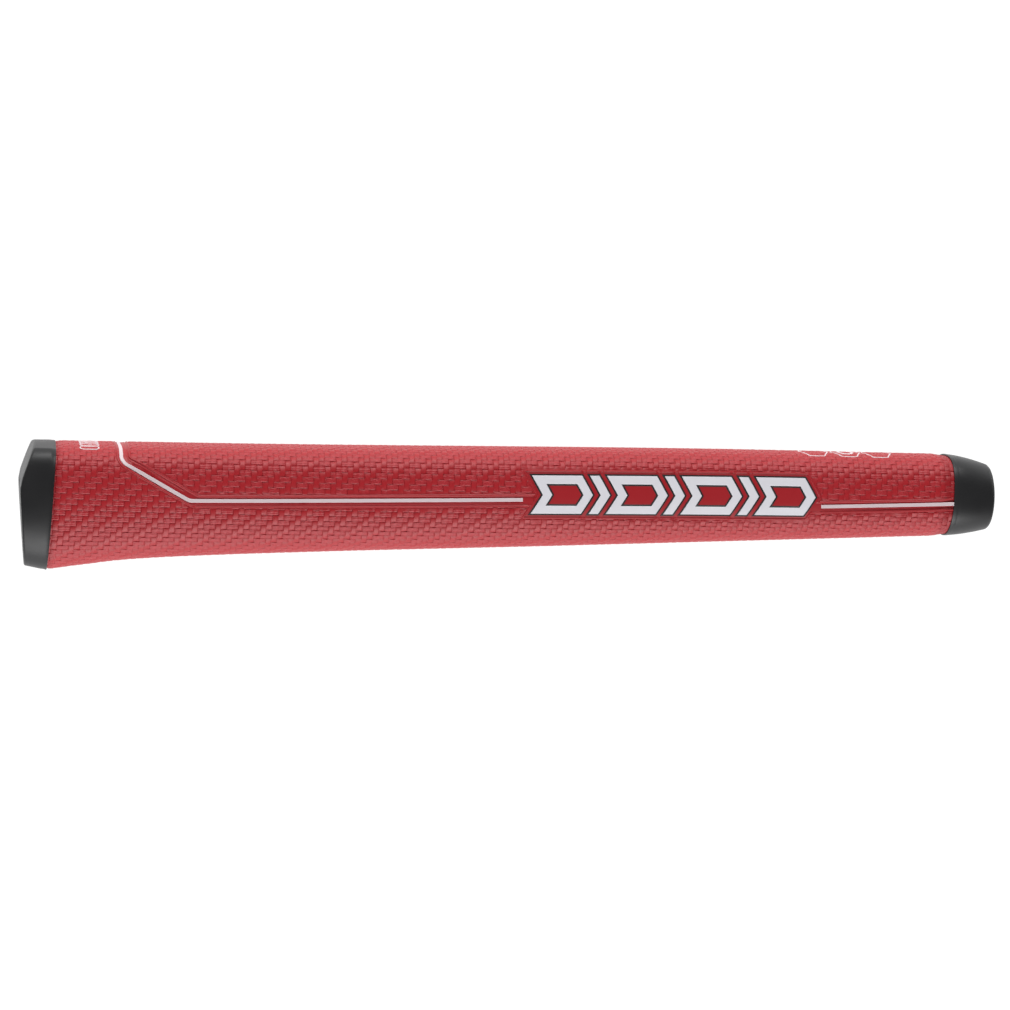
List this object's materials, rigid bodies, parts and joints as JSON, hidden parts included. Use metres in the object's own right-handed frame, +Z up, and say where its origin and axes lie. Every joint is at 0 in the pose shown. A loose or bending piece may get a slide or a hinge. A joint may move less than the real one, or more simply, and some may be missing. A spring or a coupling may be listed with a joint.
{
  "type": "putter grip",
  "caption": "Pistol-shaped putter grip: embossed skin over a foam sleeve with a shaft bore, a rubber butt cap and a rubber mouth collar.",
  "frame": {"origin": "centre of the bottom of the bounding box, as the grip lies on its side", "axes": "+X along the shaft bore from the butt to the mouth, +Y towards the flat front where the thumbs rest, +Z up, out of one side"},
  "size_m": [0.267, 0.0354, 0.0293],
  "materials": {
    "red_skin": "polyurethane synthetic leather embossed with a twill weave, satin",
    "black_rubber": "moulded, satin",
    "foam": "moulded EVA foam, fine closed cells",
    "felt": "non-woven backing",
    "white_ink": "paint filled into recesses",
    "dark_ink": "paint outline"
  },
  "bodies": {
    "root": {"butt_cap": "black_rubber", "mouth_collar": "black_rubber", "pu_skin": "red_skin", "felt_backing": "felt", "core_sleeve": "foam"}
  },
  "joints": []
}
